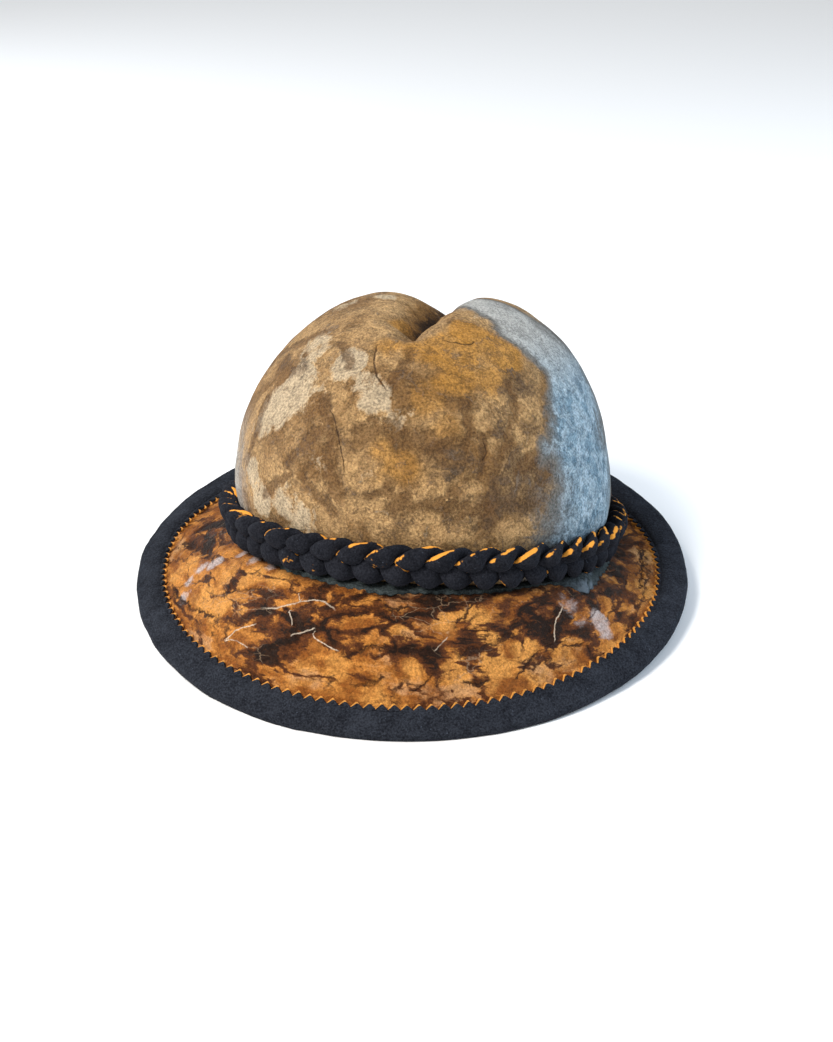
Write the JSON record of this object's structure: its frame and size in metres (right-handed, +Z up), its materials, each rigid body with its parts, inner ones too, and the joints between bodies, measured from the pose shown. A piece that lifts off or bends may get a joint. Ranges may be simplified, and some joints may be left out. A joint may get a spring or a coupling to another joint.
{
  "type": "hat",
  "caption": "Soft felted hat with a creased dome, a sloping brim turned up behind, a folded dark edge binding and a plaited band at the crown's foot.",
  "frame": {"origin": "on the surface that the hat rests on, under the middle of the rim", "axes": "-Y towards the hat's front, +X towards the right of somebody who looks at its front, +Z up"},
  "size_m": [0.2724, 0.2924, 0.1512],
  "materials": {
    "crown_felt": "tan suede-like amadou felt, ochre and brown, greyish blue at one side",
    "brim_felt": "marbled orange and dark brown amadou with fine pale veins and cracks",
    "binding_felt": "matte blue-black felt with a pinked inner edge",
    "band_felt": "matte dark grey-green felt",
    "braid_felt": "matte charcoal felt strips with orange cut edges"
  },
  "bodies": {
    "root": {"crown": "crown_felt", "brim": "brim_felt", "brim_binding": "binding_felt", "base_band": "band_felt", "braid_strand_1": "braid_felt", "braid_strand_2": "braid_felt", "braid_strand_3": "braid_felt"}
  },
  "joints": []
}
